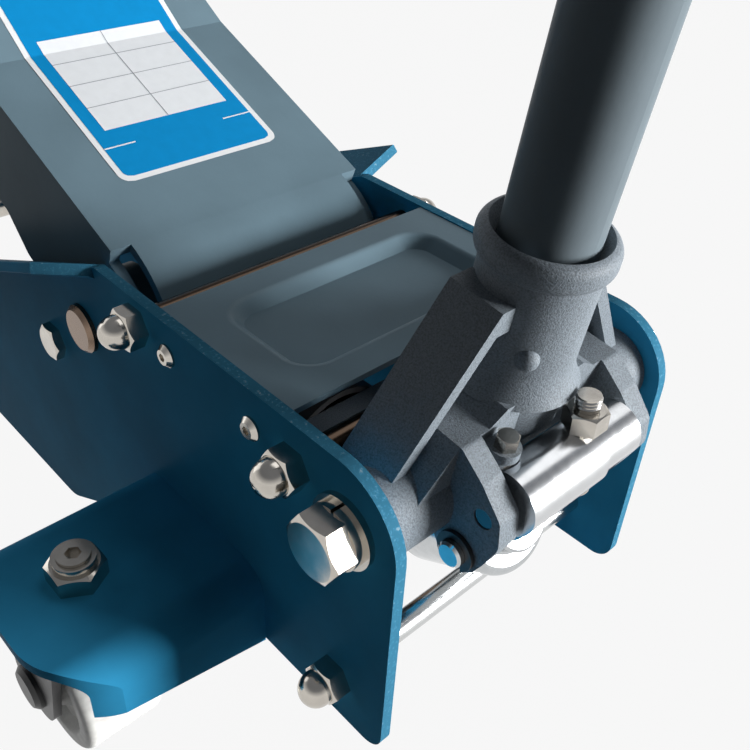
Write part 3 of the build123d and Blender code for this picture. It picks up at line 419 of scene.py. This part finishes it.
def satin_paint(name, colour, sheen=GREY_SHEEN):
    """Grey paint with a slight orange-peel skin."""
    material, tree, shader, place = new_material(name)
    cloud = noise(tree, place, scale=14.0, detail=6.0)
    peel = noise(tree, place, scale=420.0, detail=3.0)
    tone = mottle(tree, cloud, colour, (0.3, 0.86), (0.72, 1.14))
    coat(tree, shader, tone, span(tree, peel, low=0.30, high=0.46))
    bump(tree, shader, peel, strength=0.10, distance=0.0004)
    shader.inputs["Specular IOR Level"].default_value = sheen
    return material


def rough_casting(name, colour):
    """Grainy painted iron, with darker and rougher pits."""
    material, tree, shader, place = new_material(name)
    grain = noise(tree, place, scale=1500.0, detail=3.0, roughness=0.6)
    tone = mottle(tree, grain, colour, (0.34, 0.66), (0.52, 1.0), (0.70, 1.24))
    coat(tree, shader, tone, span(tree, grain, low=0.62, high=0.38))
    bump(tree, shader, grain, strength=0.45, distance=0.0006)
    shader.inputs["Specular IOR Level"].default_value = CAST_SHEEN
    return material


def plated(name, colour, roughest):
    """Plated or polished metal with a soft cloud in it."""
    material, tree, shader, place = new_material(name)
    cloud = noise(tree, place, scale=160.0, detail=5.0)
    tone = mottle(tree, cloud, colour, (0.3, 0.86), (0.7, 1.0))
    coat(tree, shader, tone, span(tree, cloud, low=roughest * 0.5, high=roughest))
    shader.inputs["Metallic"].default_value = 1.0
    return material


def part_steel(name, bright, dull, axis, border):
    """Bright drawn steel, and duller steel where the distance along the axis passes the border; on the upper
    tie rods the duller tone is partly oxide and partly painted shade.
    """
    material, tree, shader, place = new_material(name)
    beyond = work_out(tree, "GREATER_THAN", size_along(tree, place, axis), border)
    tone = ramp(tree, beyond, [(0.0, shade(bright, 1.0)), (1.0, shade(dull, 1.0))])
    drawn = noise(tree, place, scale=240.0, detail=5.0)
    coat(tree, shader, tone, span(tree, drawn, low=0.14, high=0.3))
    shader.inputs["Metallic"].default_value = 1.0
    return material


def moulded(name, colour, scale, roughness, spread=0.12, sheen=MOULDED_SHEEN):
    """Nylon, rubber, black paint or print, with a fine grain that spreads its tone."""
    material, tree, shader, place = new_material(name)
    grain = noise(tree, place, scale)
    tone = mottle(tree, grain, colour, (0.3, 1.0 - spread), (0.7, 1.0 + spread))
    coat(tree, shader, tone, span(tree, grain, low=roughness * 0.85, high=roughness))
    bump(tree, shader, grain, strength=0.15, distance=0.0004)
    shader.inputs["Specular IOR Level"].default_value = sheen
    return material


def finish_nodes(names, material):
    """Gives the named solids one finish."""
    for name in names:
        node = NODES[name]
        node.data.materials.clear()
        node.data.materials.append(material)


def mesh_of(name, builder):
    """Turns a finished bmesh into a mesh."""
    mesh = bpy.data.meshes.new(name)
    builder.normal_update()
    builder.to_mesh(mesh)
    builder.free()
    return mesh


def in_scene(name, data):
    """A new object of the scene with the given mesh, lamp or camera."""
    item = bpy.data.objects.new(name, data)
    bpy.context.scene.collection.objects.link(item)
    return item


def as_piece(name, builder, material, body):
    """Turns a finished bmesh into an object that rides on a body."""
    piece = in_scene(name, mesh_of(name, builder))
    piece.data.materials.append(material)
    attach(piece, body)
    return piece


def on_arm(along, across, height):
    """A point over the lift arm's top: along the arm from its pivot, across it, and up from the paint."""
    side = Vector((0.0, across, 0.0))
    ahead = Vector((-math.cos(ARM_TILT), 0.0, math.sin(ARM_TILT)))
    up = Vector((math.sin(ARM_TILT), 0.0, math.cos(ARM_TILT)))
    if along <= ARM_BEND_AT:
        return LIFT_PIVOT + ahead * along + up * (ARM_TOP + height) + side
    bend = LIFT_PIVOT + ahead * ARM_BEND_AT + up * ARM_TOP
    bent_ahead = ahead * math.cos(ARM_BEND) + up * math.sin(ARM_BEND)
    bent_up = up * math.cos(ARM_BEND) - ahead * math.sin(ARM_BEND)
    return bend + bent_ahead * (along - ARM_BEND_AT) + bent_up * height + side


class JACK_OT_paint_frame(bpy.types.Operator):
    """Metallic blue paint on the side plates and caster brackets"""

    bl_idname = "jack.paint_frame"
    bl_label = "Frame paint"

    def execute(self, context):
        colours = context.scene.jack_colours
        finish_nodes(BLUE_PARTS, metallic_paint("frame_blue_paint", colours.blue))
        plates = metallic_paint("plate_blue_paint", colours.blue, colours.edge_blue, colours.edge_bare)
        finish_nodes(PLATE_PARTS, plates)
        return {"FINISHED"}


class JACK_OT_paint_arm(bpy.types.Operator):
    """Slate-grey paint on the lift arm, cover, handle and levelling parts"""

    bl_idname = "jack.paint_arm"
    bl_label = "Arm paint"

    def execute(self, context):
        colours = context.scene.jack_colours
        finish_nodes(GREY_PARTS, satin_paint("arm_grey_paint", colours.grey))
        finish_nodes(COVER_PARTS, satin_paint("cover_grey_paint", colours.grey, COVER_SHEEN))
        finish_nodes(HANDLE_PARTS, satin_paint("handle_grey_paint", colours.handle))
        return {"FINISHED"}


class JACK_OT_castings(bpy.types.Operator):
    """Grainy painted castings: handle socket, pump block and saddle"""

    bl_idname = "jack.castings"
    bl_label = "Castings"

    def execute(self, context):
        colours = context.scene.jack_colours
        finish_nodes(CAST_PARTS, rough_casting("socket_casting", colours.casting))
        return {"FINISHED"}


class JACK_OT_hardware(bpy.types.Operator):
    """Zinc fasteners, polished pump parts, black casters, nylon wheels, rubber and bronze"""

    bl_idname = "jack.hardware"
    bl_label = "Hardware"

    def execute(self, context):
        colours = context.scene.jack_colours
        finish_nodes(POLISHED_PARTS, plated("polished_steel", POLISHED_STEEL, roughest=0.18))
        barrel = part_steel("barrel_steel", BARREL_BRIGHT, BARREL_DULL, "Y", BARREL_HALF)
        finish_nodes(BARREL_PARTS, barrel)
        # Tie rods above the lowest: a dark tone that is partly oxide and partly painted shade
        rods = part_steel("tie_rod_steel_and_shade", ROD_BRIGHT, ROD_OXIDE_AND_SHADE, "Z", LOW_ROD_TOP)
        finish_nodes(ROD_PARTS, rods)
        # Shafts, pins and pump cylinders: painted shade and a painted brown reflection in their colour
        finish_nodes(SHADE_BROWN_PARTS, plated("shade_brown_steel", SHADE_BROWN_STEEL, roughest=0.36))
        finish_nodes(BLACK_PARTS, moulded("black_paint", BLACK_PAINT, scale=300.0, roughness=0.45))
        finish_nodes(NYLON_PARTS, moulded("pale_nylon", colours.nylon, scale=200.0, roughness=0.5))
        finish_nodes(RUBBER_PARTS, moulded("black_rubber", BLACK_RUBBER, scale=500.0, roughness=0.75))
        finish_nodes(BRONZE_PARTS, plated("bush_bronze", BUSH_BRONZE, roughest=0.3))
        rest = [name for name in NODES if name not in DRESSED_PARTS]
        finish_nodes(rest, plated("bright_zinc", colours.zinc, roughest=0.24))
        return {"FINISHED"}


class JACK_OT_label(bpy.types.Operator):
    """Blank label on the lift arm: blue field with a pale border and an empty panel"""

    bl_idname = "jack.label"
    bl_label = "Blank label"

    def sheet(self, name, start, long, half, lift, material, corner=0.0, middle=0.0, rows=SHEET_ROWS):
        """A thin sheet that follows the arm's bend, with round corners."""
        builder = bmesh.new()
        bmesh.ops.create_grid(builder, x_segments=rows, y_segments=2, size=0.5)
        for vert in builder.verts:
            along = start + (vert.co.x + 0.5) * long
            edge = min(along - start, start + long - along)
            inset = 0.0
            if edge < corner:
                inset = corner - math.sqrt(max(corner**2 - (corner - edge) ** 2, 0.0))
            vert.co = on_arm(along, middle + vert.co.y * 2.0 * (half - inset), lift)
        bmesh.ops.recalc_face_normals(builder, faces=builder.faces)
        if builder.faces[:][0].normal.z < 0:
            bmesh.ops.reverse_faces(builder, faces=builder.faces)
        return as_piece(name, builder, material, "lift_arm")

    def print_ink(self, name, colour, scale, roughness, spread):
        """A flat print colour with the label's low sheen."""
        return moulded(name, colour, scale, roughness, spread, LABEL_SHEEN)

    def execute(self, context):
        sizes = context.scene.jack_sizes
        colours = context.scene.jack_colours
        border = self.print_ink("label_border", colours.label_border, 240.0, 0.45, 0.02)
        field = self.print_ink("label_field", colours.label_blue, 180.0, 0.4, 0.03)
        panel = self.print_ink("label_panel", colours.label_panel, 210.0, 0.45, 0.02)
        ruling = self.print_ink("label_ruling", RULING_GREY, 210.0, 0.5, 0.05)
        start = sizes.label_start
        long = sizes.label_long
        half = sizes.label_half
        edge = sizes.label_edge
        inner = (start + edge, long - 2 * edge, half - edge)
        self.sheet("label_border", start, long, half, BORDER_LIFT, border, LABEL_CORNER)
        self.sheet("label_field", *inner, FIELD_LIFT, field, FIELD_CORNER)
        cells = start + CELLS_FROM
        cells_long = CELL_ROWS * CELL_LONG
        cells_half = half - CELLS_INSET
        self.sheet("label_panel", cells, cells_long, cells_half, PANEL_LIFT, panel)
        for row in range(1, CELL_ROWS):
            strip = (cells + row * CELL_LONG - RULING / 2, RULING, cells_half)
            self.sheet(f"label_line_{row}", *strip, RULING_LIFT, ruling, rows=STRIP_ROWS)
        self.sheet("label_line_mid", cells, cells_long, RULING / 2, RULING_LIFT, ruling)
        strip = (start + RULE_FROM, 2 * RULING, RULE_LONG / 2)
        for side, name in SIDES:
            middle = side * (half - edge - RULE_LONG / 2)
            self.sheet(f"label_rule_{name}", *strip, PANEL_LIFT, border, middle=middle, rows=STRIP_ROWS)
        return {"FINISHED"}


class JACK_OT_threads(bpy.types.Operator):
    """Cut threads on the end of the adjusting bolt and on the front axle's ends"""

    bl_idname = "jack.threads"
    bl_label = "Threads"

    def thread(self, name, start, axis, radius, long, pitch, material, body, slot):
        """A ridge of triangular section that climbs round a bar."""
        across = axis.orthogonal().normalized()
        turns = max(int(long / pitch) - 1, 1)
        steps = THREAD_STEPS * turns
        builder = bmesh.new()
        low = builder.verts.new(start + across * (radius - THREAD_SINK))
        crest = builder.verts.new(start + across * (radius + THREAD_HEIGHT * pitch) + axis * (0.5 * pitch))
        high = builder.verts.new(start + across * (radius - THREAD_SINK) + axis * pitch)
        edges = [builder.edges.new(pair) for pair in ((low, crest), (crest, high), (high, low))]
        bmesh.ops.spin(
            builder,
            geom=[low, crest, high] + edges,
            cent=start,
            axis=axis,
            dvec=axis * (pitch * turns / steps),
            angle=2.0 * math.pi * turns,
            steps=steps,
            use_merge=False,
        )
        bmesh.ops.holes_fill(builder, edges=[edge for edge in builder.edges if edge.is_boundary], sides=3)
        bmesh.ops.recalc_face_normals(builder, faces=builder.faces)
        return as_piece(name, builder, material, body)

    def execute(self, context):
        pitch = context.scene.jack_sizes.thread_pitch
        steel = plated("cut_thread", THREAD_STEEL, roughest=0.3)
        out = Vector((math.cos(HANDLE_LEAN), 0.0, -math.sin(HANDLE_LEAN)))
        up = Vector((math.sin(HANDLE_LEAN), 0.0, math.cos(HANDLE_LEAN)))
        axis = up * math.cos(ADJUST_LEAN) - out * math.sin(ADJUST_LEAN)
        place = HANDLE_PIVOT + out * ADJUST_PLACE.x + up * ADJUST_PLACE.z
        place += Vector((0.0, ADJUST_PLACE.y, 0.0))
        low, high = ADJUST_THREAD
        bar = (ADJUST_RADIUS, high - low, pitch)
        self.thread("adjusting_thread", place + axis * low, axis, *bar, steel, "socket", "zinc")
        low, high = FRONT_THREAD
        bar = (FRONT_AXLE_RADIUS, high - low, FINE_PITCH * pitch)
        for side, name in SIDES:
            axis = Vector((0.0, side, 0.0))
            self.thread(f"axle_thread_{name}", FRONT_AXLE + axis * low, axis, *bar, steel, "frame", "zinc")
        return {"FINISHED"}


class JACK_OT_stage(bpy.types.Operator):
    """White floor, soft studio light and the photo's camera"""

    bl_idname = "jack.stage"
    bl_label = "Studio"

    def lamp(self, name, place, size, power):
        """A square window of light that looks at the jack."""
        data = bpy.data.lights.new(name, "AREA")
        data.shape = "RECTANGLE"
        data.size = data.size_y = size
        data.energy = power
        lamp = in_scene(name, data)
        lamp.location = place
        lamp.rotation_mode = "QUATERNION"
        lamp.rotation_quaternion = (LAMP_AIM - place).to_track_quat("-Z", "Y")

    def seen(self, tree):
        """1 for the rays that show the backdrop: camera, glossy and transmission rays."""
        path = tree.nodes.new("ShaderNodeLightPath")
        total = path.outputs["Is Camera Ray"]
        for kind in ("Is Glossy Ray", "Is Transmission Ray"):
            add = tree.nodes.new("ShaderNodeMath")
            add.operation = "ADD"
            add.use_clamp = True
            tree.links.new(total, add.inputs[0])
            tree.links.new(path.outputs[kind], add.inputs[1])
            total = add.outputs["Value"]
        return total

    def blend(self, tree, share, first, second, output):
        """Sends a mix of two shaders to the output."""
        mix = tree.nodes.new("ShaderNodeMixShader")
        tree.links.new(share, mix.inputs["Fac"])
        tree.links.new(first, mix.inputs[1])
        tree.links.new(second, mix.inputs[2])
        tree.links.new(mix.outputs["Shader"], tree.nodes[output].inputs["Surface"])

    def floor(self):
        """A floor that looks white and still takes the jack's shadow."""
        builder = bmesh.new()
        bmesh.ops.create_grid(builder, x_segments=1, y_segments=1, size=FLOOR_HALF)
        bmesh.ops.translate(builder, verts=builder.verts, vec=(0.0, 0.0, -FLOOR_DROP))
        floor = in_scene("studio_floor", mesh_of("studio_floor", builder))
        material = bpy.data.materials.new("white_floor")
        material.use_nodes = True
        tree = material.node_tree
        shader = tree.nodes["Principled BSDF"]
        shader.inputs["Base Color"].default_value = FLOOR_GREY
        shader.inputs["Roughness"].default_value = FLOOR_ROUGHNESS
        glow = tree.nodes.new("ShaderNodeEmission")
        glow.inputs["Color"].default_value = WHITE
        share = work_out(tree, "MULTIPLY", self.seen(tree), FLOOR_WHITE)
        self.blend(tree, share, shader.outputs["BSDF"], glow.outputs["Emission"], "Material Output")
        floor.data.materials.append(material)

    def world(self):
        """A weak cool sky for the light, and a white backdrop for what is seen."""
        world = bpy.data.worlds.new("studio_world")
        world.use_nodes = True
        bpy.context.scene.world = world
        tree = world.node_tree
        sky = tree.nodes["Background"]
        sky.inputs["Color"].default_value = SKY_TINT
        sky.inputs["Strength"].default_value = SKY_STRENGTH
        white = tree.nodes.new("ShaderNodeBackground")
        white.inputs["Strength"].default_value = 1.0
        place = tree.nodes.new("ShaderNodeTexCoord")
        split = tree.nodes.new("ShaderNodeSeparateXYZ")
        tree.links.new(place.outputs["Generated"], split.inputs["Vector"])
        tree.links.new(ramp(tree, split.outputs["Z"], BACKDROP), white.inputs["Color"])
        shown = white.outputs["Background"]
        self.blend(tree, self.seen(tree), sky.outputs["Background"], shown, "World Output")

    def camera(self):
        """The photo's camera."""
        data = bpy.data.cameras.new("photo_camera")
        data.sensor_width = CAMERA_SENSOR
        data.lens = CAMERA_LENS
        data.clip_start = CAMERA_NEAR
        camera = in_scene("photo_camera", data)
        back = -CAMERA_LOOK.normalized()
        right = CAMERA_UP.cross(back).normalized()
        up = back.cross(right)
        turn = Matrix((right, up, back)).transposed()
        camera.matrix_world = Matrix.Translation(CAMERA_PLACE) @ turn.to_4x4()
        bpy.context.scene.camera = camera

    def execute(self, context):
        self.floor()
        self.world()
        self.camera()
        for lamp in LAMPS:
            self.lamp(*lamp)
        context.scene.view_settings.view_transform = "Standard"
        return {"FINISHED"}


class JACK_PT_panel(bpy.types.Panel):
    """The jack's finishing steps"""

    bl_idname = "JACK_PT_panel"
    bl_label = "Trolley jack"
    bl_space_type = "VIEW_3D"
    bl_region_type = "UI"
    bl_category = "Jack"

    def draw(self, context):
        for step in STEPS:
            self.layout.operator(step.bl_idname)
        for group in (context.scene.jack_sizes, context.scene.jack_colours):
            for key in group.bl_rna.properties.keys():
                if key not in ("rna_type", "name"):
                    self.layout.prop(group, key)


STEPS = (
    JACK_OT_paint_frame,
    JACK_OT_paint_arm,
    JACK_OT_castings,
    JACK_OT_hardware,
    JACK_OT_label,
    JACK_OT_threads,
    JACK_OT_stage,
)
CLASSES = (JackSizes, JackColours) + STEPS + (JACK_PT_panel,)


def register():
    for cls in CLASSES:
        bpy.utils.register_class(cls)
    bpy.types.Scene.jack_sizes = PointerProperty(type=JackSizes)
    bpy.types.Scene.jack_colours = PointerProperty(type=JackColours)


def unregister():
    del bpy.types.Scene.jack_colours
    del bpy.types.Scene.jack_sizes
    for cls in reversed(CLASSES):
        bpy.utils.unregister_class(cls)


def main():
    register()
    for step in STEPS:
        family, action = step.bl_idname.split(".")
        getattr(getattr(bpy.ops, family), action)()


if __name__ == "__main__":
    main()
